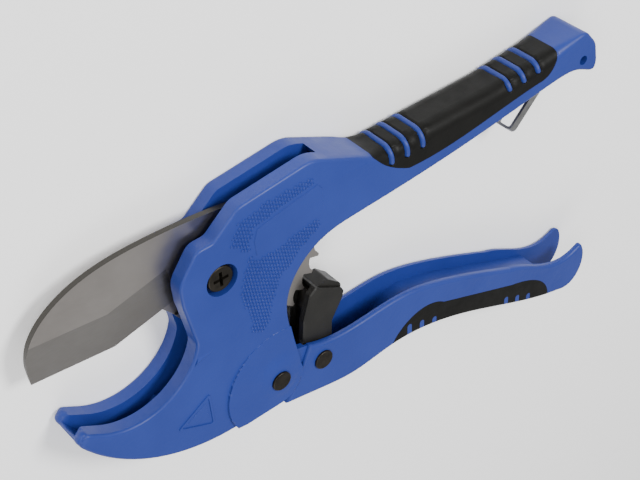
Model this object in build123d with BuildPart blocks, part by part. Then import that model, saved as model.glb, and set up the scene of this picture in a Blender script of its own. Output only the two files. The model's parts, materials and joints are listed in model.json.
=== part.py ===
"""Ratcheting pipe cutter: cast body, hooked jaw, toothed blade, squeeze handle, pawl and latch."""
import os
from math import cos, hypot, radians, sin

from build123d import *

# ---------------------------------------------------------------- driving dimensions (mm)
body_width = 19.2          # thickness of the casting, rest face to upper cheek face
mid = body_width / 2       # height of the blade's mid-plane
slot_width = 7.0           # gap between the two cheeks
blade_thickness = 2.4
pivot_x, pivot_y = -61.9, 45.1   # blade pivot, so that the origin is under the middle of the tool

jaw_outer_r = 76.2         # the jaw's back is an arc about the blade pivot
jaw_slot_r = 74.7          # groove that the blade tip runs in
cavity_r = 56.2            # room for the toothed sector
seat_centre = (-40.0, -17.0)
seat_r = 27.2              # curved seat that the pipe lies in

tooth_r = 54.2             # tips of the ratchet teeth
root_r = 50.2
tooth_pitch = 8.0          # degrees
tooth_count = 11
first_tooth = -89.5        # angle of the lowest tooth tip
blade_tip_r = 73.9

fork_pin_at = (19.9, -64.3)      # lower handle turns here
pawl_pin_at = (42.2, -69.1)
bail_pin_at = (169.0, 6.2)
hang_hole_at = (184.0, 7.6)
hang_hole_r = 2.1

boss_height = 1.2          # raised pad round the handle pin
boss_r = 24.6
ear_half = 7.6             # half width over the lower handle's ears
ear_r = 10.2
ear_inner_half = 5.0
fork_half = 7.8            # half width of the fork's gap
handle_half = 9.1          # half width of the lower handle
channel_half = 6.6         # half width inside its channel
rubber = 2.2               # thickness of the grips

screw_r = 3.0
bush_r = 4.5
upper_washer_r = 9.0
lower_washer_r = 6.2
fit = 0.05                 # radial play of a running fit
pin_r = 3.0
pin_head_r = 4.3
pawl_half = 2.8
housing_half = 5.8
bail_pin_r = 1.25
bail_spacer_r = 2.6
bail_half = 4.9            # half width over the bail
bail_length = 28.2
bail_strap = 3.6
bail_thickness = 1.2
bail_bend = 2.2              # outer radius of the strap's bends
bail_rest = 224.0          # direction of the bail's legs, degrees from +X
bail_lug_r = 2.8
bail_gap_half = 5.4        # half width of the hollow that it folds into
bail_pin_length = 16.5     # the hole stops short of the upper cheek face
pocket_half = 5.6          # half width of the pocket that it hooks into

edge_round = 1.2           # rounding of the cast edges
jaw_tip_round = 2.1        # the jaw's end, seen from the side
throat_round = 8.0         # corners of the seat and the throat
end_round = 1.5            # hanging end of the upper handle
fork_round = 3.0
horn_round = 2.2             # tips of the lower handle's two horns
handle_round = 1.6
rib_width = 2.4            # cast ribs that show through the grips
rib_reach = 9.0

screw_recess_r = 6.7
screw_recess_depth = 3.4
screw_head_r = 5.5
screw_head_height = 2.7
cross_length = 6.4
cross_width = 1.3
cross_depth = 1.6
nut_pocket_r = 5.1         # across flats / 2
nut_pocket_depth = 4.2
nut_gap = 0.5              # nut and screw end stay this far inside the rest face

edge_half = 0.2            # half thickness left at the cutting edge
bevel_width = 16.5
heel_overrun = 7.0           # the grind runs on past the heel of the edge
pin_head_height = 1.0
pawl_pin_r = 2.5
housing_gap_half = 2.9
cap_half = 4.4              # half width of the housing's rounded cap
housing_pin_at = (45.0, -44.0)
housing_pin_r = 1.2
pawl_spring_room = 1.8


def level(z):
    """Plane parallel to the cheeks at height z, with the blade pivot as its origin."""
    return Plane(origin=(pivot_x, pivot_y, z))


def polar(radius, angle, centre=(0.0, 0.0)):
    """Point at a radius and an angle in degrees from a centre."""
    return centre[0] + radius * cos(radians(angle)), centre[1] + radius * sin(radians(angle))


def about(centre, *points):
    """Points given from a pin's axis, as points from the blade pivot."""
    return [(centre[0] + x, centre[1] + y) for x, y in points]


# ---------------------------------------------------------------- outlines
jaw_end = polar(jaw_outer_r, 209.6)
jaw_top = (-63.2, -34.2)
throat_top = (-17.0, -3.0)
jaw_start = polar(jaw_outer_r, 268.4)
seat_start = polar(seat_r, 237.0, seat_centre)
seat_low = polar(seat_r, 275.0, seat_centre)
seat_end = polar(seat_r, -13.0, seat_centre)
# side view of the casting: jaw, head, upper handle and fork
with BuildSketch() as body_side:
    with BuildLine():
        ThreePointArc(jaw_start, polar(jaw_outer_r, 240.0), jaw_end)
        Line(jaw_end, jaw_top)
        Line(jaw_top, seat_start)
        ThreePointArc(seat_start, seat_low, seat_end)
        Line(seat_end, throat_top)
        FilletPolyline(
            throat_top, (-17.4, 6.5), (-8.6, 17.9), (-1.6, 17.9), (10.0, 27.2), (43.0, 30.4),
            (73.0, 16.2), (137.0, 16.2), (168.0, 19.0), (185.2, 20.8), (191.4, 13.0), (192.7, 5.0),
            radius=[9, 5, 4, 6, 14, 20, 60, 40, 5, 8],
        )
        Spline(
            (192.7, 5.0), (190.6, 0.0), (185.8, 1.8), (179.0, 4.3), (168.0, 4.3), (146.0, 1.6),
            (110.0, -2.4), (62.0, -5.2), (46.5, -7.2), (34.0, -15.2), (27.4, -28.0), (27.6, -41.0),
            (29.6, -54.5), (31.0, -64.6),
        )
        ThreePointArc((31.0, -64.6), (27.4, -73.6), (18.5, -77.0))
        Line((18.5, -77.0), (2.6, -77.0))
        Line((2.6, -77.0), jaw_start)
    make_face()
    fillet(body_side.vertices().sort_by_distance(jaw_top)[:2], jaw_tip_round)
    fillet(body_side.vertices().sort_by_distance(seat_start)[0], throat_round)
    fillet(body_side.vertices().sort_by_distance(seat_end)[0], throat_round)
    fillet(body_side.vertices().sort_by_distance(throat_top)[0], throat_round)
    fillet(body_side.vertices().sort_by_distance((192.7, 5.0))[0], end_round)
    fillet(body_side.vertices().sort_by_distance((31.0, -64.6))[0], fork_round)


front_low = (fork_pin_at[0] + 3.2, fork_pin_at[1] - 17.6)
front_top = (36.2, -58.0)
handle_underside = [
    front_low, (41.0, -85.7), (57.5, -88.2), (79.0, -86.6), (108.5, -91.2), (149.0, -108.0),
    (182.0, -120.2),
]
# side view of the lower handle behind its ears
with BuildSketch() as handle_side:
    with BuildLine():
        Spline(*handle_underside)
        Spline((182.0, -120.2), (193.5, -118.8), (198.2, -108.5), (195.4, -98.9))
        Spline((195.4, -98.9), (181.0, -101.6), (166.0, -95.2), (149.0, -86.5))
        Spline((149.0, -86.5), (108.5, -68.4), (87.0, -62.5), (54.7, -62.4), front_top)
        ThreePointArc(front_top, (fork_pin_at[0] + 12.4, fork_pin_at[1] - 2.0), front_low)
    make_face()
    fillet(handle_side.vertices().sort_by_distance((195.4, -98.9))[0], horn_round)


# side view of the area that the upper grip covers
with BuildSketch() as upper_grip_side:
    with BuildLine():
        Spline((70.5, 30.0), (71.0, 17.5), (77.5, 9.5), (88.5, 2.9))
        Spline((88.5, 2.9), (98.0, 2.5), (134.4, 5.8), (158.0, 8.6))
        Spline((158.0, 8.6), (166.3, 12.4), (168.6, 18.0), (168.8, 30.0))
        Line((168.8, 30.0), (70.5, 30.0))
    make_face()


# side view of the area that the lower grip covers
with BuildSketch() as lower_grip_side:
    with BuildLine():
        Spline((76.5, -92.0), (78.4, -86.2), (85.2, -79.2), (94.5, -75.8), (108.0, -79.8))
        Line((108.0, -79.8), (150.0, -96.4))
        Spline((150.0, -96.4), (162.5, -101.2), (170.4, -107.4), (173.2, -125.0))
        Polyline((173.2, -125.0), (76.5, -125.0), (76.5, -92.0))
    make_face()


def rib_slots(places):
    """Sketch of round-ended windows, one for each place, that the casting's ribs fill."""
    with BuildSketch() as windows:
        with Locations(places):
            SlotCenterToCenter(2 * rib_reach, rib_width, rotation=90)
    return windows.sketch


def ring(centre, low_z, height, outer_r, inner_r):
    """Ring or bush standing on the plane at low_z."""
    with BuildPart() as tube:
        with BuildSketch(level(low_z)):
            with Locations(centre):
                Circle(outer_r)
                Circle(inner_r, mode=Mode.SUBTRACT)
        extrude(amount=height)
    return tube.part


def headed_pin(centre, low_z, shoulder_z, shank_r):
    """Round pin with a flat rivet head on the upper side."""
    with BuildPart() as pin:
        with BuildSketch(level(low_z)):
            with Locations(centre):
                Circle(shank_r)
        extrude(amount=shoulder_z - low_z)
        with BuildSketch(level(shoulder_z)):
            with Locations(centre):
                Circle(pin_head_r)
        extrude(amount=pin_head_height)
        fillet(pin.edges().group_by(Axis.Z)[-1], 0.5)
    return pin.part


def torsion_spring(centre, low_z, coil_r, wire_r, turns, leg):
    """Coil about a vertical axis with a straight leg at each end."""
    pitch = 2 * wire_r + 0.02
    start = level(low_z + wire_r).from_local_coords((centre[0], centre[1], 0))
    coil = Helix(pitch=pitch, height=pitch * turns, radius=coil_r, center=start)
    with BuildPart() as spring:
        with BuildSketch(Plane(origin=coil @ 0, z_dir=coil % 0)):
            Circle(wire_r)
        sweep(path=coil)
        with BuildSketch(Plane(origin=coil @ 1, z_dir=coil % 1)):
            Circle(wire_r)
        extrude(amount=leg)
        with BuildSketch(Plane(origin=coil @ 0, z_dir=-(coil % 0))):
            Circle(wire_r)
        extrude(amount=leg)
    return spring.part


upper_ribs = [(80.2, 18.6), (88.0, 18.2), (95.8, 18.6), (142.2, 22.0), (150.0, 22.4), (158.0, 23.2)]
lower_ribs = [
    (88.4, -90.6), (95.4, -92.8), (102.6, -95.4), (146.6, -112.0), (153.8, -115.4), (161.0, -118.8)
]

# ---------------------------------------------------------------- body casting and upper grip
with BuildPart() as body_shape:
    with BuildSketch(level(0)):
        add(body_side.sketch)
    extrude(amount=body_width)
    fillet(body_shape.faces().filter_by(Axis.Z).edges(), edge_round)

with BuildPart() as upper_grip:
    add(body_shape.part)
    with BuildSketch(level(0)):
        add(upper_grip_side.sketch)
    extrude(amount=body_width, mode=Mode.INTERSECT)
    with BuildSketch(level(rubber)):
        with BuildLine():
            Polyline((60, -9), (60, 14), (137, 14), (168, 16.8), (172, 17), (172, -9), close=True)
        make_face()
    extrude(amount=body_width - 2 * rubber, mode=Mode.SUBTRACT)
    with BuildSketch(level(0)):
        add(rib_slots(upper_ribs))
    extrude(amount=body_width, mode=Mode.SUBTRACT)
upper_grip.part.label = "upper_grip"

# groove in the jaw, left of the line that the closed edge stops at
with BuildSketch() as jaw_groove:
    Circle(jaw_slot_r)
    with BuildLine():
        Polyline((-48, -66.7), (-17.2, -39.5), (-17.2, 90), (90, 90), (90, -90), (-48, -90), close=True)
    make_face(mode=Mode.SUBTRACT)

# room for the lower handle's ears and neck, swung from open to closed
with BuildSketch() as fork_gap:
    with Locations(fork_pin_at):
        Circle(ear_r + 0.6)
    with BuildLine():
        sweep_edge = about(
            fork_pin_at, (0, 0), (2, -40), (40, -40), (40, 30), (13, 18), (-2, 12.6), (-8, 7)
        )
        Polyline(*sweep_edge, close=True)
    make_face()

# hollow on the underside of the handle that the bail folds into
with BuildSketch() as bail_hollow:
    with BuildLine():
        FilletPolyline((135, -9), (137, 9.4), (172.5, 11.4), (174.5, -9), radius=2)
        Line((174.5, -9), (135, -9))
    make_face()

with BuildPart() as body_casting:
    add(body_shape.part)
    with BuildSketch(level(body_width - edge_round)):
        with Locations(fork_pin_at):
            Circle(boss_r)
        add(body_side.sketch, mode=Mode.INTERSECT)
    extrude(amount=edge_round + boss_height)
    with BuildSketch(level(mid - slot_width / 2)):
        Circle(cavity_r)
        add(jaw_groove.sketch)
    extrude(amount=slot_width, mode=Mode.SUBTRACT)
    with BuildSketch(level(mid - fork_half)):
        add(fork_gap.sketch)
    extrude(amount=2 * fork_half, mode=Mode.SUBTRACT)
    with BuildSketch(level(mid - bail_gap_half)):
        add(bail_hollow.sketch)
    extrude(amount=2 * bail_gap_half, mode=Mode.SUBTRACT)
    with Locations(level(body_width)):
        CounterBoreHole(screw_r, screw_recess_r, screw_recess_depth)
    with BuildSketch(level(0)):
        RegularPolygon(nut_pocket_r, 6, major_radius=False)
    extrude(amount=nut_pocket_depth, mode=Mode.SUBTRACT)
    with BuildSketch(level(0)):
        with Locations(fork_pin_at):
            Circle(pin_r)
        with Locations(hang_hole_at):
            Circle(hang_hole_r)
    extrude(amount=body_width + boss_height, mode=Mode.SUBTRACT)
    with BuildSketch(level(0)):
        with Locations(bail_pin_at):
            Circle(bail_pin_r)
    extrude(amount=bail_pin_length, mode=Mode.SUBTRACT)
    add(upper_grip.part, mode=Mode.SUBTRACT)
body_casting.part.label = "body_casting"

# ---------------------------------------------------------------- blade
edge_heel = (-20.2, -7.7)
edge_apex = (-40.8, -12.2)
edge_tip = polar(blade_tip_r, 186.5)
lowest_root = polar(root_r, first_tooth - 3.5)
highest_tooth = first_tooth + tooth_pitch * (tooth_count - 1)


def ratchet_tooth(angle):
    """Edge of one tooth: steep flank below, sloping back above, then a round gullet."""
    foot = polar(root_r, angle - 0.8)
    tip = polar(tooth_r, angle)
    land = polar(tooth_r, angle + 1.2)
    gullet = polar(root_r + 0.5, angle + 4.6)
    next_foot = polar(root_r, angle + tooth_pitch - 0.8)
    Line(foot, tip)
    Line(tip, land)
    ThreePointArc(land, gullet, next_foot)


def bevel_cutter(start, end, overrun_start, overrun_end):
    """Wedges that grind both faces of the blade along one straight stretch of its edge."""
    along = Vector(end[0] - start[0], end[1] - start[1]).normalized()
    origin = Vector(pivot_x + start[0], pivot_y + start[1], mid) - along * overrun_start
    length = hypot(end[0] - start[0], end[1] - start[1]) + overrun_start + overrun_end
    section = Plane(origin=origin, x_dir=(0, 0, 1), z_dir=along)
    half = blade_thickness / 2
    with BuildPart() as wedges:
        with BuildSketch(section):
            for side in (1, -1):
                with BuildLine():
                    Polyline(
                        (side * edge_half, -6), (side * edge_half, 0), (side * half, bevel_width),
                        (side * (half + 1), bevel_width), (side * (half + 1), -6), close=True,
                    )
                make_face()
        extrude(amount=length)
    return wedges.part


with BuildPart() as blade:
    with BuildSketch(level(mid - blade_thickness / 2)):
        with BuildLine():
            Line(edge_heel, edge_apex)
            Line(edge_apex, edge_tip)
            ThreePointArc(edge_tip, polar(blade_tip_r, 183), polar(blade_tip_r, 180))
            Spline(
                polar(blade_tip_r, 180), (-69.3, 11.8), (-57.6, 20.8), (-42.0, 25.3), (-24.0, 26.0),
                (4.8, 23.6), (30.0, 17.0), polar(root_r, highest_tooth + tooth_pitch - 0.8),
            )
            Line(lowest_root, polar(root_r, first_tooth - 0.8))
            for tooth in range(tooth_count):
                ratchet_tooth(first_tooth + tooth_pitch * tooth)
            ThreePointArc(lowest_root, (-8.0, -27.0), edge_heel)
        make_face()
        Circle(bush_r + fit, mode=Mode.SUBTRACT)
    extrude(amount=blade_thickness)
    add(bevel_cutter(edge_heel, edge_apex, heel_overrun, 25), mode=Mode.SUBTRACT)
    add(bevel_cutter(edge_apex, edge_tip, 25, 15), mode=Mode.SUBTRACT)
blade.part.label = "blade"

# ---------------------------------------------------------------- blade pivot
with BuildPart() as pivot_screw:
    with BuildSketch(level(nut_gap)):
        Circle(screw_r)
    extrude(amount=body_width - screw_recess_depth - nut_gap)
    with BuildSketch(level(body_width - screw_recess_depth)):
        Circle(screw_head_r)
    extrude(amount=screw_head_height)
    fillet(pivot_screw.edges().group_by(Axis.Z)[-1], 0.9)
    with BuildSketch(level(body_width - screw_recess_depth + screw_head_height)):
        Rectangle(cross_length, cross_width)
        Rectangle(cross_width, cross_length)
    extrude(amount=-cross_depth, taper=12, mode=Mode.SUBTRACT)
pivot_screw.part.label = "pivot_screw"

with BuildPart() as pivot_nut:
    with BuildSketch(level(nut_gap)):
        RegularPolygon(nut_pocket_r - 0.1, 6, major_radius=False)
        Circle(screw_r, mode=Mode.SUBTRACT)
    extrude(amount=nut_pocket_depth - nut_gap)
pivot_nut.part.label = "pivot_nut"

cheek_low = mid - slot_width / 2
cheek_high = mid + slot_width / 2
blade_low = mid - blade_thickness / 2
blade_high = mid + blade_thickness / 2

pivot_bush = ring((0, 0), cheek_low, slot_width, bush_r, screw_r)
pivot_bush.label = "pivot_bush"
upper_thrust_washer = ring((0, 0), blade_high + fit, cheek_high - blade_high - fit, upper_washer_r, bush_r)
upper_thrust_washer.label = "upper_thrust_washer"
lower_thrust_washer = ring((0, 0), cheek_low, blade_low - cheek_low - fit, lower_washer_r, bush_r)
lower_thrust_washer.label = "lower_thrust_washer"
blade_spring = torsion_spring((0, 0), cheek_low + 0.2, 7.4, 0.45, 1, 5)
blade_spring.label = "blade_spring"

# ---------------------------------------------------------------- lower handle and lower grip
with BuildPart() as handle_shape:
    with BuildSketch(level(mid - handle_half)):
        add(handle_side.sketch)
    extrude(amount=2 * handle_half)
    flanks = handle_shape.faces().filter_by(Axis.Z).edges()
    fillet(flanks, handle_round)

with BuildPart() as lower_grip:
    add(handle_shape.part)
    with BuildSketch(level(0)):
        add(lower_grip_side.sketch)
    extrude(amount=body_width, mode=Mode.INTERSECT)
    with BuildSketch(level(mid - handle_half + rubber)):
        with BuildLine():
            Spline(*[(x, y + rubber) for x, y in handle_underside])
            Polyline(
                (182.0, -120.2 + rubber), (205, -120), (205, -40), (20, -40),
                (front_low[0], front_low[1] + rubber),
            )
        make_face()
    extrude(amount=2 * (handle_half - rubber), mode=Mode.SUBTRACT)
    with BuildSketch(level(0)):
        add(rib_slots(lower_ribs))
    extrude(amount=body_width, mode=Mode.SUBTRACT)
lower_grip.part.label = "lower_grip"

# deep well for the pawl, then the shallow channel, then the open end between the two horns
with BuildSketch() as channel:
    with BuildLine():
        FilletPolyline(
            (34.6, -40), (34.6, -80.6), (42, -82.9), (57, -85.2), (69, -84.2), (76, -80.4),
            (86, -72.2), (94, -70.8), (111, -75.6),
            (136, -86.4), (171.6, -102.0), radius=[1, 6, 12, 5, 5, 6, 6, 30, 200],
        )
        Polyline((171.6, -102.0), (175, -112), (177, -130), (205, -130), (205, -60), (34.6, -40))
    make_face()

# pocket below the end of the channel floor, where the bail hooks in
with BuildSketch() as bail_pocket:
    with BuildLine():
        Polyline((160.5, -99.6), (174, -105.6), (176, -113.4), (157.5, -105.6), close=True)
    make_face()

with BuildPart() as lower_handle:
    add(handle_shape.part)
    with BuildSketch(level(mid - ear_half)):
        with Locations(fork_pin_at):
            Circle(ear_r)
        with BuildLine():
            neck = about(
                fork_pin_at, (2.8, -9.4), (7.5, -15.4), (22, -18), (22, 3.8), (16.3, 5.8), (3.4, 9.5)
            )
            Polyline(*neck, close=True)
        make_face()
    extrude(amount=2 * ear_half)
    with BuildSketch(level(mid - ear_inner_half)):
        with Locations(fork_pin_at):
            Circle(ear_r + 2)
            Rectangle(15, 40, align=(Align.MIN, Align.CENTER))
    extrude(amount=2 * ear_inner_half, mode=Mode.SUBTRACT)
    with BuildSketch(level(mid - channel_half)):
        add(channel.sketch)
    extrude(amount=2 * channel_half, mode=Mode.SUBTRACT)
    with BuildSketch(level(mid - pocket_half)):
        add(bail_pocket.sketch)
    extrude(amount=2 * pocket_half, mode=Mode.SUBTRACT)
    with BuildSketch(level(0)):
        with Locations(fork_pin_at):
            Circle(pin_r + fit)
        with Locations(pawl_pin_at):
            Circle(pawl_pin_r)
    extrude(amount=body_width, mode=Mode.SUBTRACT)
    add(lower_grip.part, mode=Mode.SUBTRACT)
lower_handle.part.label = "lower_handle"

handle_pin = headed_pin(fork_pin_at, 0.3, body_width + boss_height, pin_r)
handle_pin.label = "handle_pin"
handle_spring = torsion_spring(fork_pin_at, mid - 3.4, 4.3, 0.65, 4.5, 8)
handle_spring.label = "handle_spring"

# ---------------------------------------------------------------- pawl
nose_tip = (42.0, -36.8)
with BuildPart() as pawl:
    with BuildSketch(level(mid - pawl_half)):
        with BuildLine():
            Polyline(
                (37.6, -68), (39.6, -45), nose_tip, (46.2, -36.8), (49.0, -40.2), (48.6, -52), (46.8, -68),
                close=True,
            )
        make_face()
        with Locations(pawl_pin_at):
            Circle(4.8)
            Circle(pawl_pin_r + fit, mode=Mode.SUBTRACT)
        with Locations(housing_pin_at):
            Circle(housing_pin_r, mode=Mode.SUBTRACT)
    extrude(amount=2 * pawl_half)
    fillet(pawl.edges().filter_by(Axis.Z).sort_by(Axis.Y)[-2:], 0.6)
pawl.part.label = "pawl"

with BuildPart() as pawl_housing:
    with BuildSketch(level(mid - housing_half)):
        with BuildLine():
            Polyline(
                (36.4, -71), (35.6, -58), (36.6, -47.5), (40.4, -36.4), (43.4, -33.8), (56.2, -41.6),
                (57.2, -43.8), (56.4, -46.4), (50.6, -55.4), (49.4, -71), close=True,
            )
        make_face()
        with Locations(pawl_pin_at):
            Circle(6.4)
            Circle(pawl_pin_r + fit, mode=Mode.SUBTRACT)
    extrude(amount=2 * housing_half)
    upright = pawl_housing.edges().filter_by(Axis.Z)
    fillet(upright.filter_by(lambda edge: edge.center().Y - pivot_y > -66), 1.0)
    chamfer(pawl_housing.faces().filter_by(Axis.Z).edges().filter_by(GeomType.LINE), 0.5)
    with BuildSketch(level(mid - cap_half)):
        with BuildLine():
            FilletPolyline(
                (42.6, -39.0), (43.6, -34.8), (50.8, -34.6), (56.4, -39.8), (56.6, -44.0), (47.0, -44.0),
                radius=1.6, close=True,
            )
        make_face()
    extrude(amount=2 * cap_half)
    with BuildSketch(level(mid - housing_gap_half)):
        with BuildLine():
            Polyline(
                (30, -80), (30, -25), (43.0, -25), (43.7, -36.2), (46.8, -36.2), (49.8, -40.0),
                (49.4, -52), (48.0, -80), close=True,
            )
        make_face()
    extrude(amount=2 * housing_gap_half, mode=Mode.SUBTRACT)
    with BuildSketch(level(mid - housing_gap_half - pawl_spring_room)):
        with Locations(pawl_pin_at):
            Circle(5.0)
    extrude(amount=pawl_spring_room, mode=Mode.SUBTRACT)
    with BuildSketch(level(mid - housing_half)):
        with Locations(housing_pin_at):
            Circle(housing_pin_r)
    extrude(amount=2 * housing_half - 1.4, mode=Mode.SUBTRACT)
pawl_housing.part.label = "pawl_housing"

pawl_pin = headed_pin(pawl_pin_at, mid - handle_half + 0.4, mid + handle_half, pawl_pin_r)
pawl_pin.label = "pawl_pin"
housing_pin = ring(housing_pin_at, mid - housing_half + 0.2, 2 * housing_half - 1.8, housing_pin_r, 0.5)
housing_pin.label = "housing_pin"
pawl_spring = torsion_spring(
    pawl_pin_at, mid - housing_gap_half - pawl_spring_room + 0.15, 3.7, 0.35, 1, 1
)
pawl_spring.label = "pawl_spring"

# ---------------------------------------------------------------- bail latch
leg_direction = Vector(cos(radians(bail_rest)), sin(radians(bail_rest)), 0)
bail_origin = Vector(pivot_x + bail_pin_at[0], pivot_y + bail_pin_at[1], mid)
across = leg_direction.cross(Vector(0, 0, 1))
bail_plane = Plane(origin=bail_origin, x_dir=leg_direction, z_dir=across)
with BuildPart() as bail:
    with BuildSketch(bail_plane):
        with BuildLine() as strap:
            FilletPolyline(
                (0, bail_half), (bail_length, bail_half), (bail_length, -bail_half), (0, -bail_half),
                radius=bail_bend,
            )
            offset(amount=bail_thickness, side=Side.RIGHT)
        make_face()
    extrude(amount=bail_strap / 2, both=True)
    with BuildSketch(Plane.XY.offset(mid - bail_half)):
        with Locations((bail_origin.X, bail_origin.Y)):
            Circle(bail_lug_r)
    extrude(amount=bail_thickness)
    with BuildSketch(Plane.XY.offset(mid + bail_half - bail_thickness)):
        with Locations((bail_origin.X, bail_origin.Y)):
            Circle(bail_lug_r)
    extrude(amount=bail_thickness)
    with BuildSketch(Plane.XY):
        with Locations((bail_origin.X, bail_origin.Y)):
            Circle(bail_pin_r + fit)
    extrude(amount=body_width, mode=Mode.SUBTRACT)
bail.part.label = "bail"

bail_pin = ring(bail_pin_at, 0.3, bail_pin_length - 0.4, bail_pin_r, 0.3)
bail_pin.label = "bail_pin"
spacer_half = bail_half - bail_thickness - 0.1
bail_spacer = ring(bail_pin_at, mid - spacer_half, 2 * spacer_half, bail_spacer_r, bail_pin_r)
bail_spacer.label = "bail_spacer"

# ---------------------------------------------------------------- files
os.makedirs("parts", exist_ok=True)
nodes = {
    "body_casting": body_casting.part,
    "upper_grip": upper_grip.part,
    "blade": blade.part,
    "pivot_screw": pivot_screw.part,
    "pivot_nut": pivot_nut.part,
    "pivot_bush": pivot_bush,
    "upper_thrust_washer": upper_thrust_washer,
    "lower_thrust_washer": lower_thrust_washer,
    "blade_spring": blade_spring,
    "lower_handle": lower_handle.part,
    "lower_grip": lower_grip.part,
    "handle_pin": handle_pin,
    "handle_spring": handle_spring,
    "pawl": pawl.part,
    "pawl_housing": pawl_housing.part,
    "pawl_pin": pawl_pin,
    "housing_pin": housing_pin,
    "pawl_spring": pawl_spring,
    "bail": bail.part,
    "bail_pin": bail_pin,
    "bail_spacer": bail_spacer,
}
for name, solid in nodes.items():
    export_step(solid, f"parts/{name}.step")
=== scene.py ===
import json
import math

import bmesh
import bpy
from mathutils import Matrix, Vector
from mathutils.bvhtree import BVHTree
from mathutils.geometry import barycentric_transform


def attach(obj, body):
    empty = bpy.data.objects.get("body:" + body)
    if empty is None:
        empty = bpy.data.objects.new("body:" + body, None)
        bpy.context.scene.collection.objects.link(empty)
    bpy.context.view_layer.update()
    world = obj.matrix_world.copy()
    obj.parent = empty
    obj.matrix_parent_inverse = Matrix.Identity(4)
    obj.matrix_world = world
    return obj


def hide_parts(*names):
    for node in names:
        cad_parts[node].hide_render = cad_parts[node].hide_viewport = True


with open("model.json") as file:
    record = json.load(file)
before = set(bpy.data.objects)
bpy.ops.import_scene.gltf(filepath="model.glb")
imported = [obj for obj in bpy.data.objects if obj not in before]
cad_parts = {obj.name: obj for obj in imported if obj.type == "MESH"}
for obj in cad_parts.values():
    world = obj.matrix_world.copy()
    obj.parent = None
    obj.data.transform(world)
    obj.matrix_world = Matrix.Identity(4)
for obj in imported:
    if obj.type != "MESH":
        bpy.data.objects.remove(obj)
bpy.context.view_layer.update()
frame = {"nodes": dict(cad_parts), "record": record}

nodes = frame["nodes"]

# ---------------------------------------------------------------- materials


class Finish:
    """A procedural material on one Principled shader, with helpers for its noise and bump."""

    def __init__(self, name, roughness, metallic=0.0, **sockets):
        self.material = bpy.data.materials.new(name)
        self.material.use_nodes = True
        self.tree = self.material.node_tree
        self.shader = self.tree.nodes["Principled BSDF"]
        self.shader.inputs["Roughness"].default_value = roughness
        self.shader.inputs["Metallic"].default_value = metallic
        for socket, value in sockets.items():
            self.shader.inputs[socket.replace("_", " ")].default_value = value
        self.place = self.tree.nodes.new("ShaderNodeTexCoord").outputs["Object"]
        self.normal = None

    def link(self, output, socket):
        self.tree.links.new(output, socket)

    def stretched(self, scale, turn=0.0):
        """The object's coordinates stretched by scale on each axis, after a turn about Z."""
        node = self.tree.nodes.new("ShaderNodeMapping")
        node.inputs["Scale"].default_value = scale
        node.inputs["Rotation"].default_value = (0.0, 0.0, turn)
        self.link(self.place, node.inputs["Vector"])
        return node.outputs["Vector"]

    def noise(self, scale, detail=4.0, rough=0.5, place=None):
        node = self.tree.nodes.new("ShaderNodeTexNoise")
        node.inputs["Scale"].default_value = scale
        node.inputs["Detail"].default_value = detail
        node.inputs["Roughness"].default_value = rough
        self.link(place or self.place, node.inputs["Vector"])
        return node.outputs["Fac"]

    def ramp(self, value, stops):
        """A colour ramp over value. stops are (position, colour or grey)."""
        node = self.tree.nodes.new("ShaderNodeValToRGB")
        marks = node.color_ramp.elements
        while len(marks) < len(stops):
            marks.new(0.5)
        for mark, (position, colour) in zip(marks, stops):
            mark.position = position
            mark.color = (*colour, 1.0) if isinstance(colour, tuple) else (colour, colour, colour, 1.0)
        self.link(value, node.inputs["Fac"])
        return node.outputs["Color"]

    def mix(self, amount, first, second):
        node = self.tree.nodes.new("ShaderNodeMix")
        node.data_type = "RGBA"
        self.link(amount, node.inputs["Factor"])
        for colour, socket in ((first, node.inputs[6]), (second, node.inputs[7])):
            if isinstance(colour, tuple):
                socket.default_value = (*colour, 1.0)
            else:
                self.link(colour, socket)
        return node.outputs[2]

    def colour(self, output):
        self.link(output, self.shader.inputs["Base Color"])

    def roughness(self, output):
        self.link(output, self.shader.inputs["Roughness"])

    def bump(self, height, depth, strength=1.0):
        """Adds a bump of that depth in metres on top of those before it."""
        node = self.tree.nodes.new("ShaderNodeBump")
        node.inputs["Distance"].default_value = depth
        node.inputs["Strength"].default_value = strength
        self.link(height, node.inputs["Height"])
        if self.normal:
            self.link(self.normal, node.inputs["Normal"])
        self.normal = node.outputs["Normal"]
        self.link(self.normal, self.shader.inputs["Normal"])


def blue_paint():
    f = Finish("blue_paint", 0.42, Specular_IOR_Level=0.3)
    patches = f.noise(35.0, 3.0)
    flecks = f.noise(900.0, 2.0, 0.6)
    base = f.ramp(patches, [(0.3, (0.015, 0.033, 0.205)), (0.7, (0.019, 0.040, 0.235))])
    f.colour(f.mix(f.ramp(flecks, [(0.62, 0.0), (0.8, 0.22)]), base, (0.029, 0.057, 0.27)))
    f.roughness(f.ramp(f.noise(120.0, 4.0), [(0.3, 0.36), (0.75, 0.50)]))
    f.bump(f.noise(420.0, 3.0, 0.55), 0.00012, 0.5)
    f.bump(f.noise(1700.0, 2.0, 0.5), 0.00004, 0.45)
    return f.material


def grip_rubber():
    f = Finish("grip_rubber", 0.6, Specular_IOR_Level=0.13)
    wear = f.noise(60.0, 5.0, 0.6)
    f.colour(f.ramp(wear, [(0.3, (0.0042, 0.0042, 0.0037)), (0.75, (0.0072, 0.0070, 0.0062))]))
    f.roughness(f.ramp(f.noise(220.0, 3.0), [(0.3, 0.40), (0.75, 0.56)]))
    f.bump(f.noise(1500.0, 2.0, 0.6), 0.00006, 0.5)
    return f.material


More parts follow.
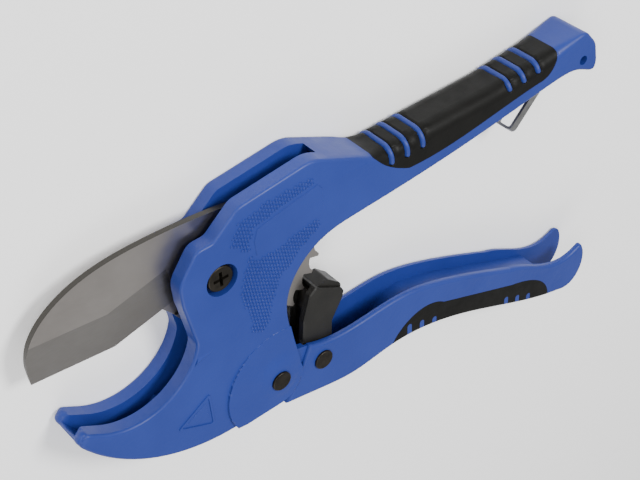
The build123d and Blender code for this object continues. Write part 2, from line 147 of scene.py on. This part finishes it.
def blade_steel():
    f = Finish("blade_steel", 0.34, 1.0)
    # the blade's colours below follow which way each face points (world normal Z)
    tilt = f.tree.nodes.new("ShaderNodeSeparateXYZ")
    f.link(f.tree.nodes.new("ShaderNodeNewGeometry").outputs["Normal"], tilt.inputs["Vector"])
    flat = f.tree.nodes.new("ShaderNodeMath")
    flat.operation = "ABSOLUTE"
    f.link(tilt.outputs["Z"], flat.inputs[0])
    # level tells the flat faces from the slightly tilted ground bevel, so the bevel's colour is set by
    # which way it faces
    level = f.ramp(flat.outputs[0], [(0.9985, 0.0), (0.9995, 1.0)])
    # painted shade: faces standing on edge (the blade's spine and edges, which sit between the cheeks) are
    # given a near-black colour instead of the steel's
    side = f.ramp(flat.outputs[0], [(0.5, 0.0), (0.9, 1.0)])
    grind = f.noise(1.0, 3.0, 0.6, f.stretched((260.0, 3400.0, 400.0), 0.35))
    swirl = f.noise(28.0, 4.0, 0.6)
    face = f.ramp(swirl, [(0.25, (0.33, 0.305, 0.285)), (0.75, (0.43, 0.405, 0.385))])
    # ground bevel colour: the grind streaks are the steel's own, and its darker grey is partly painted
    # reflection for how the tilted facet takes the light
    ground_with_painted_reflection = f.ramp(grind, [(0.2, (0.125, 0.126, 0.122)), (0.8, (0.200, 0.201, 0.192))])
    # side faces get the near-black painted shade; flat faces keep the steel's own tone, and the bevel gets
    # its darker grey, which is partly painted reflection
    f.colour(f.mix(side, (0.055, 0.052, 0.047), f.mix(level, ground_with_painted_reflection, face)))
    f.roughness(f.ramp(grind, [(0.2, 0.27), (0.8, 0.43)]))
    f.bump(grind, 0.00003, 0.35)
    return f.material


def dark_hardware():
    f = Finish("dark_hardware", 0.4, 0.85)
    f.colour(f.ramp(f.noise(300.0, 4.0), [(0.3, (0.017, 0.0145, 0.011)), (0.75, (0.040, 0.034, 0.026))]))
    f.roughness(f.ramp(f.noise(500.0, 3.0), [(0.3, 0.32), (0.75, 0.52)]))
    f.bump(f.noise(1400.0, 2.0), 0.00004, 0.4)
    return f.material


def drawn_metal(name, dark, light, rough):
    f = Finish(name, rough, 1.0)
    streaks = f.noise(1.0, 3.0, 0.6, f.stretched((300.0, 300.0, 2200.0)))
    f.colour(f.ramp(streaks, [(0.25, dark), (0.75, light)]))
    f.roughness(f.ramp(streaks, [(0.2, rough - 0.06), (0.8, rough + 0.10)]))
    f.bump(streaks, 0.00003, 0.3)
    return f.material


def black_plastic():
    f = Finish("black_plastic", 0.5, Specular_IOR_Level=0.3)
    grain = f.noise(90.0, 4.0)
    f.colour(f.ramp(grain, [(0.3, (0.0085, 0.0082, 0.0072)), (0.75, (0.0150, 0.0142, 0.0125))]))
    f.roughness(f.ramp(f.noise(260.0, 3.0), [(0.3, 0.38), (0.75, 0.56)]))
    f.bump(f.noise(1100.0, 2.0), 0.00006, 0.4)
    return f.material


finishes = {
    "blue_paint": blue_paint(),
    "grip_rubber": grip_rubber(),
    "blade_steel": blade_steel(),
    "dark_hardware": dark_hardware(),
    "zinc_steel": drawn_metal("zinc_steel", 0.40, 0.62, 0.3),
    "spring_steel": drawn_metal("spring_steel", 0.25, 0.42, 0.34),
    "strap_steel": drawn_metal("strap_steel", 0.22, 0.36, 0.36),
    "black_plastic": black_plastic(),
}
for part in frame["record"]["subparts"]:
    mesh = nodes[part["node"]].data
    mesh.materials.clear()
    mesh.materials.append(finishes[part["material_slot"]])

# ---------------------------------------------------------------- shapes

mm = 0.001
pivot = Vector((-0.0619, 0.0451, 0.0))   # blade pivot in the frame, on the rest face
cheek_top = 19.2                         # upper cheek face, mm
cheek_half = 3.05                        # half of one cheek's thickness
fork_pin = (19.9, -64.3)
boss_height = 1.2
boss_reach = 25.0
boss_fade = (108.0, 152.0)               # degrees round the pin between which the boss fades out
boss_low_edge = 230.0                    # degrees past which it keeps its full height
cast_round = 1.2                         # the CAD's own rounding of the cast edges
ribs = [(80.2, 18.6), (88.0, 18.2), (95.8, 18.6), (142.2, 22.0), (150.0, 22.4), (158.0, 23.2)]
rib_half = 1.2
rib_reach = 9.0                          # how far a rib runs down the handle's side
rib_rise = 0.35                          # how far a rib stands out of the handle
rib_groove = 0.85                        # depth of the groove beside a rib
rib_wall = 0.5                           # width of that groove's wall
rib_skin = 0.8                           # depth below the surface where the ribs fade out
rib_cuts = (-0.95, -0.65, -0.3, 0.0, 0.3, 0.65, 0.95)
handle_cuts = (
    0.3, 0.8, 1.4, 2.2, 3.0, 3.8, 4.8, 5.6, 9.6, 13.6, 14.4, 15.4, 16.2, 17.0, 17.8, 18.4, 18.9)
finger_cuts = (
    0.5, 1.2, 2.1, 3.05, 4.0, 4.9, 5.6, 13.6, 14.3, 15.2, 16.15, 17.1, 18.0, 18.7)
corner_depth = 12.0                      # how far down from its top the handle is sliced
tip_corner = (-54.0, -30.0)              # the jaw's fingertips lie beyond this


def steps(low, high, count):
    return [low + (high - low) * i / count for i in range(count + 1)]


def eased(value, low, high):
    """0 below low, 1 above high, and smooth between."""
    t = min(max((value - low) / (high - low), 0.0), 1.0)
    return t * t * (3.0 - 2.0 * t)


def along_table(table, x):
    """Straight-line interpolation in a list of (x, value)."""
    for (x0, v0), (x1, v1) in zip(table, table[1:]):
        if x <= x1:
            return v0 + (v1 - v0) * max(x - x0, 0.0) / (x1 - x0)
    return table[-1][1]


def opened(node):
    """A welded bmesh of a CAD node, in mm from the blade pivot."""
    bm = bmesh.new()
    bm.from_mesh(nodes[node].data)
    bmesh.ops.remove_doubles(bm, verts=bm.verts, dist=2e-6)
    for v in bm.verts:
        v.co = (v.co - pivot) / mm
    return bm


def remembered(bm):
    """Keeps where each vertex is before it is moved, for the normals of what stays in place."""
    if "rest" in bm.verts.layers.float_vector:
        return
    layer = bm.verts.layers.float_vector.new("rest")
    for v in bm.verts:
        v[layer] = v.co


def kept_normals(mesh, node):
    """Gives the faces that weren't moved the CAD's own normals, and leaves the rest to Blender."""
    source = nodes[node].data
    source.calc_loop_triangles()
    triangles = [tuple(t.vertices) for t in source.loop_triangles]
    places = [(v.co - pivot) / mm for v in source.vertices]
    tree = BVHTree.FromPolygons(places, triangles)
    corners = [t.loops[:] for t in source.loop_triangles]
    smooth = source.corner_normals
    rest = mesh.attributes["rest"].data
    here = [(v.co - pivot) / mm for v in mesh.vertices]
    was = [Vector(item.vector) for item in rest]
    normals = [Vector((0.0, 0.0, 0.0))] * len(mesh.loops)
    for face in mesh.polygons:
        ids = face.vertices[:]
        if any((here[i] - was[i]).length > 1e-3 for i in ids):
            continue
        middle = sum((was[i] for i in ids), Vector()) / len(ids)
        _, facing, index, gap = tree.find_nearest(middle)
        if gap is None or gap > 0.02 or facing.dot(face.normal) < 0.9:
            continue
        a, b, c = (places[i] for i in triangles[index])
        weights = [smooth[i].vector for i in corners[index]]
        for loop, i in zip(face.loop_indices, ids):
            normals[loop] = barycentric_transform(was[i], a, b, c, *weights).normalized()
    mesh.normals_split_custom_set(normals)


def sliced(bm, axis, levels, inside):
    """Cuts every face whose middle is inside, on planes across one axis."""
    across = Vector((0.0, 0.0, 0.0))
    across[axis] = 1.0
    for level in levels:
        faces = [
            f for f in bm.faces
            if min(v.co[axis] for v in f.verts) < level - 1e-4
            and max(v.co[axis] for v in f.verts) > level + 1e-4
            and inside(f.calc_center_median())
        ]
        if faces:
            edges = {e for f in faces for e in f.edges}
            verts = {v for f in faces for v in f.verts}
            bmesh.ops.bisect_plane(
                bm, geom=[*faces, *edges, *verts], dist=1e-4, plane_co=across * level, plane_no=across)


def closed_piece(bm, name, body, slot_name, sharp=32.0, source=None):
    """Turns a bmesh in mm from the blade pivot into a finished piece in the frame."""
    bmesh.ops.triangulate(bm, faces=[f for f in bm.faces if len(f.verts) > 4])
    bmesh.ops.recalc_face_normals(bm, faces=bm.faces)
    for v in bm.verts:
        v.co = pivot + v.co * mm
    mesh = bpy.data.meshes.new(name)
    bm.to_mesh(mesh)
    bm.free()
    for face in mesh.polygons:
        face.use_smooth = True
    mesh.set_sharp_from_angle(angle=math.radians(sharp))
    mesh.materials.append(finishes[slot_name])
    piece = bpy.data.objects.new(name, mesh)
    bpy.context.collection.objects.link(piece)
    if source:
        kept_normals(mesh, source)
    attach(piece, body)
    return piece


# height of the upper handle's top outline over x, felt from above the casting and the grip
feelers = [BVHTree.FromBMesh(opened(node)) for node in ("body_casting", "upper_grip")]


def felt_top(x):
    hits = [feeler.ray_cast(Vector((x, 60.0, 9.0)), Vector((0.0, -1.0, 0.0)))[0] for feeler in feelers]
    return max(hit.y for hit in hits if hit)


handle_start, handle_end = 58.0, 186.0
handle_top = [(x, felt_top(x)) for x in steps(handle_start, handle_end, 128)]
handle_radius = [(58.0, 1.21), (66.0, 2.0), (78.0, 5.6), (163.0, 5.6), (170.0, 4.2), (184.0, 1.21)]


def in_handle(p):
    return handle_start + 2.0 < p.x < handle_end - 1.0


def cast_corner(a, b, radius):
    """How far out a point is towards the cast corner, where the cast surface itself counts as radius."""
    core = radius - cast_round
    if min(a, b) * radius <= core * max(a, b):
        return max(a, b)
    square = a * a + b * b
    root = math.sqrt(max((core * (a + b)) ** 2 - square * (2.0 * core * core - cast_round ** 2), 0.0))
    return radius * square / (core * (a + b) + root)


def rounded_handle(bm):
    """Turns the handle's square upper corners into large rounds, and raises the ribs through the grip."""
    def corner(p):
        return in_handle(p) and p.y > along_table(handle_top, p.x) - corner_depth

    sliced(bm, 0, steps(62.0, 184.0, 61), corner)
    for x, _ in ribs:
        sliced(bm, 0, [x + cut for cut in rib_cuts], corner)
    sliced(bm, 1, steps(7.0, 21.0, 28), corner)
    sliced(bm, 2, handle_cuts, corner)
    remembered(bm)
    for v in bm.verts:
        p = v.co
        if not in_handle(p):
            continue
        top = along_table(handle_top, p.x)
        slope = (along_table(handle_top, p.x + 1.0) - along_table(handle_top, p.x - 1.0)) / 2.0
        tilt = 1.0 / math.sqrt(1.0 + slope * slope)
        radius = along_table(handle_radius, p.x)
        far = p.z < cheek_top / 2
        depth_top = (top - p.y) * tilt
        depth_side = p.z if far else cheek_top - p.z
        in_top, in_side = radius - depth_top, radius - depth_side
        out_y, out_z = (1.0, 0.0) if depth_top < depth_side else (0.0, 1.0)
        depth = min(depth_top, depth_side)
        if in_top > 0.0 and in_side > 0.0:
            span = math.hypot(in_top, in_side)
            shrink = cast_corner(in_top, in_side, radius) / span
            out_y, out_z = in_top / span, in_side / span
            depth = radius - shrink * span
            depth_top = radius - in_top * shrink
            depth_side = radius - in_side * shrink
        for rib_x, rib_y in ribs:
            reach = math.hypot(p.x - rib_x, min(p.y - (rib_y - rib_reach), 0.0))
            inset = rib_half - reach
            if inset > -0.02 and depth < rib_skin:
                sunk = rib_groove * max(1.0 - inset / rib_wall, 0.0) - rib_rise * eased(inset, 0.2, 1.1)
                sunk *= 1.0 - depth / rib_skin
                depth_top += sunk * out_y
                depth_side += sunk * out_z
        p.y = top - depth_top / tilt
        p.z = max(depth_side, 0.0) if far else cheek_top - depth_side


def jaw_tip(p):
    return p.x < tip_corner[0] and p.y < tip_corner[1]


def rounded_jaw_tips(bm):
    """Rounds the ends of the jaw's two fingers across their thickness."""
    end_low, inward, reach = Vector((-66.25, -37.64)), Vector((0.748, -0.663)), 3.1
    for v in bm.verts:
        p = v.co
        if not jaw_tip(p):
            continue
        middle = cheek_half if p.z < cheek_top / 2 else cheek_top - cheek_half
        side = (p.z - middle) / cheek_half
        end = (reach - (p.xy - end_low).dot(inward)) / reach
        if abs(side) > 1.01 or end <= 0.0:
            continue
        span = math.hypot(end, side)
        shrink = max(end, abs(side)) / span if span else 1.0
        shift = (end - end * shrink) * reach
        p.x += inward.x * shift
        p.y += inward.y * shift
        p.z = middle + side * shrink * cheek_half


def faded_boss(bm):
    """Lets the pad round the handle pin run out into the cheek on its upper side."""
    for v in bm.verts:
        p = v.co
        if p.z < cheek_top + 0.01 or p.z > cheek_top + boss_height + 0.1:
            continue
        arm = Vector((p.x - fork_pin[0], p.y - fork_pin[1]))
        if arm.length > boss_reach:
            continue
        turn_at = math.degrees(math.atan2(arm.y, arm.x)) % 360.0
        rise = eased(turn_at, *boss_fade) if turn_at < boss_low_edge else 1.0
        rise = 0.04 + 0.66 * rise
        rise = max(rise, 1.0 - eased(arm.length, 6.0, 13.0))
        p.z = cheek_top + (p.z - cheek_top) * rise


def on_boss(p):
    return p.z > cheek_top - 0.1 and math.hypot(p.x - fork_pin[0], p.y - fork_pin[1]) < boss_reach


casting = opened("body_casting")
sliced(casting, 0, steps(-70.0, -56.0, 20), jaw_tip)
sliced(casting, 1, steps(-46.0, -33.0, 18), jaw_tip)
sliced(casting, 2, finger_cuts, jaw_tip)
sliced(casting, 0, steps(-5.0, 45.0, 34), on_boss)
sliced(casting, 1, steps(-78.0, -39.0, 26), on_boss)
rounded_handle(casting)
rounded_jaw_tips(casting)
faded_boss(casting)
soft_casting = closed_piece(casting, "soft_casting", "frame", "blue_paint", source="body_casting")
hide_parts("body_casting")

grip = opened("upper_grip")
rounded_handle(grip)
soft_grip = closed_piece(grip, "soft_upper_grip", "frame", "grip_rubber", source="upper_grip")
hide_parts("upper_grip")


def relief(bm, outline, base, height, draft):
    """A low pad with sloping sides on the cheek, over a closed outline of (x, y)."""
    middle = Vector((sum(x for x, _ in outline), sum(y for _, y in outline))) / len(outline)
    foot = [bm.verts.new((x, y, base)) for x, y in outline]
    top = []
    for x, y in outline:
        inward = (middle - Vector((x, y))).normalized() * draft
        top.append(bm.verts.new((x + inward.x, y + inward.y, base + height)))
    bm.faces.new(reversed(foot))
    bm.faces.new(top)
    for i in range(len(outline)):
        j = (i + 1) % len(outline)
        bm.faces.new((foot[i], foot[j], top[j], top[i]))


def inside_outline(x, y, outline):
    hit = False
    for (x0, y0), (x1, y1) in zip(outline, outline[1:] + outline[:1]):
        if (y0 > y) != (y1 > y) and x < x0 + (x1 - x0) * (y - y0) / (y1 - y0):
            hit = not hit
    return hit


def edge_distance(x, y, outline):
    p = Vector((x, y))
    best = 99.0
    for a, b in zip(outline, outline[1:] + outline[:1]):
        a, b = Vector(a), Vector(b)
        t = min(max((p - a).dot(b - a) / (b - a).length_squared, 0.0), 1.0)
        best = min(best, (p - a - (b - a) * t).length)
    return best


# the grip texture on the cheek: rows of small diamonds in a branched band
band = [
    (4.32, 12.48), (8.64, 21.12), (22.08, 24), (41.28, 24), (44.16, 19.68), (28.8, 17.28),
    (15.36, 14.88), (13.44, 9.6), (14.4, 0.96), (24, 0.48), (33.6, 2.88), (44.16, 4.32),
    (44.16, -0.96), (31.68, -8.64), (24, -16.32), (20.16, -24), (18.24, -33.6), (13.44, -36),
    (9.6, -33.6), (9.6, -24), (6.72, -14.4), (7.68, -6.72), (12.48, 4.8)]
diamond_long, diamond_short = 2.4, 1.9   # spacing of the diamonds along and across their rows
diamond_fill = 0.43                      # half of a diamond as a part of that spacing
diamond_height, diamond_draft = 0.55, 0.42
band_margin = 0.45
lean = math.radians(8.0)


def leaned(x, y):
    return x * math.cos(lean) - y * math.sin(lean), x * math.sin(lean) + y * math.cos(lean)


def diamonds(bm):
    """Fills the band with rows of diamonds, each a relief of its own."""
    a, b = diamond_long * diamond_fill, diamond_short * diamond_fill
    corners = [leaned(*corner) for corner in ((a, 0.0), (0.0, b), (-a, 0.0), (0.0, -b))]
    for row in range(-60, 60):
        for column in range(-40, 40):
            x, y = leaned((column + 0.5 * (row % 2)) * diamond_long, row * diamond_short / 2)
            if inside_outline(x, y, band) and edge_distance(x, y, band) > band_margin:
                outline = [(x + dx, y + dy) for dx, dy in corners]
                relief(bm, outline, cheek_top - 0.1, diamond_height, diamond_draft)


texture = bmesh.new()
diamonds(texture)
closed_piece(texture, "cheek_texture", "frame", "blue_paint", 20.0)

panel_outline = [
    (15.12, 2.4), (14.64, 9.12), (16.32, 13.92), (28.8, 16.56), (44.64, 18.96), (46.56, 16.32),
    (46.56, 7.2), (44.16, 5.28), (33.6, 3.84), (24, 1.68)]
panel = bmesh.new()
relief(panel, panel_outline, cheek_top - 0.2, 0.5, 0.45)
closed_piece(panel, "cheek_panel", "frame", "blue_paint", 20.0)


def rounded_outline(points, radius, count=5):
    """Points with each corner turned into an arc-like run."""
    out = []
    for i, point in enumerate(points):
        here = Vector(point)
        before = (Vector(points[i - 1]) - here).normalized() * radius
        after = (Vector(points[(i + 1) % len(points)]) - here).normalized() * radius
        for k in range(count + 1):
            t = k / count
            out.append(tuple(here + before * (1 - t) ** 2 + after * t ** 2))
    return out


def raised_ring(bm, outer, inner, base, height, draft):
    """A closed raised line between two outlines with the same number of points."""
    loops = []
    for ring, side, z in ((outer, 0.0, base), (outer, draft, base + height), (inner, -draft, base + height),
                          (inner, 0.0, base)):
        middle = Vector((sum(x for x, _ in ring), sum(y for _, y in ring))) / len(ring)
        loops.append([
            bm.verts.new((*(Vector(p) + (middle - Vector(p)).normalized() * side), z)) for p in ring])
    for one, two in zip(loops, loops[1:] + loops[:1]):
        for i in range(len(one)):
            j = (i + 1) % len(one)
            bm.faces.new((one[i], one[j], two[j], two[i]))


def tapered_ridge(bm, root_low, root_high, point, height):
    """A crease that starts high at the jaw's edge and runs out to a point on the cheek."""
    base = cheek_top - 0.2
    low, high, tip = (bm.verts.new((x, y, base)) for x, y in (root_low, root_high, point))
    crest_at = [(a + b) / 2 for a, b in zip(root_low, root_high)]
    crest = bm.verts.new((crest_at[0], crest_at[1], cheek_top + height))
    for corners in ((low, tip, crest), (tip, high, crest), (high, low, crest), (low, high, tip)):
        bm.faces.new(corners)


ridge = bmesh.new()
tapered_ridge(ridge, (-16.6, -33.2), (-13.9, -28.8), (-3.8, -28.6), 0.6)
closed_piece(ridge, "throat_ridge", "frame", "blue_paint", 20.0)

# a plain raised triangle on the jaw
emblem_at = Vector((-17.2, -58.6))
emblem_corners = [(-27.6, -58.9), (-11.0, -66.9), (-11.6, -49.4)]


def about_emblem(scale):
    return [tuple(emblem_at + (Vector(c) - emblem_at) * scale) for c in emblem_corners]


emblem = bmesh.new()
raised_ring(emblem, rounded_outline(about_emblem(1.0), 1.8), rounded_outline(about_emblem(0.82), 1.5),
            cheek_top - 0.1, 0.5, 0.2)
relief(emblem, rounded_outline(about_emblem(0.62), 1.0), cheek_top - 0.1, 0.3, 0.3)
closed_piece(emblem, "cheek_emblem", "frame", "blue_paint", 20.0)

# ---------------------------------------------------------------- stage

floor_half = 6.0
floor_mesh = bpy.data.meshes.new("floor")
floor_mesh.from_pydata(
    [(-floor_half, -floor_half, 0.0), (floor_half, -floor_half, 0.0),
     (floor_half, floor_half, 0.0), (-floor_half, floor_half, 0.0)],
    [], [(0, 1, 2, 3)])
floor = bpy.data.objects.new("floor", floor_mesh)
bpy.context.collection.objects.link(floor)
pale = Finish("pale_floor", 0.9, Specular_IOR_Level=0.2)
pale.colour(pale.ramp(pale.noise(6.0, 3.0), [(0.3, 0.93), (0.7, 0.945)]))
pale.shader.inputs["Emission Color"].default_value = (1.0, 1.0, 1.0, 1.0)
pale.shader.inputs["Emission Strength"].default_value = 0.22
floor_mesh.materials.append(pale.material)

world = bpy.data.worlds.new("studio")
world.use_nodes = True
world.node_tree.nodes["Background"].inputs["Color"].default_value = (1.0, 1.0, 1.0, 1.0)
world.node_tree.nodes["Background"].inputs["Strength"].default_value = 0.6
bpy.context.scene.world = world


def softbox(name, location, aim, size, power):
    light = bpy.data.lights.new(name, "AREA")
    light.shape = "DISK"
    light.size = size
    light.energy = power
    lamp = bpy.data.objects.new(name, light)
    lamp.location = location
    lamp.rotation_euler = (Vector(aim) - Vector(location)).to_track_quat("-Z", "Y").to_euler()
    bpy.context.collection.objects.link(lamp)


softbox("key", (0.30, 0.62, 0.95), (0.0, 0.0, 0.0), 0.4, 13.0)
softbox("side", (-0.75, 0.55, 0.75), (-0.03, 0.0, 0.0), 0.5, 6.0)
softbox("fill", (-0.5, -0.7, 0.8), (-0.03, 0.0, 0.0), 0.8, 4.0)

lens = bpy.data.cameras.new("camera")
lens.lens = 77.06
lens.sensor_width = 36.0
camera = bpy.data.objects.new("camera", lens)
right = (0.77197, -0.04732, 0.63389)
up = (0.44383, 0.75402, -0.48422)
back = (-0.45505, 0.65515, 0.60308)
turn = Matrix((right, up, back)).transposed().to_4x4()
camera.matrix_world = Matrix.Translation((-0.2476, 0.3686, 0.3235)) @ turn
lens.clip_start, lens.clip_end = 0.01, 50.0
bpy.context.collection.objects.link(camera)
bpy.context.scene.camera = camera
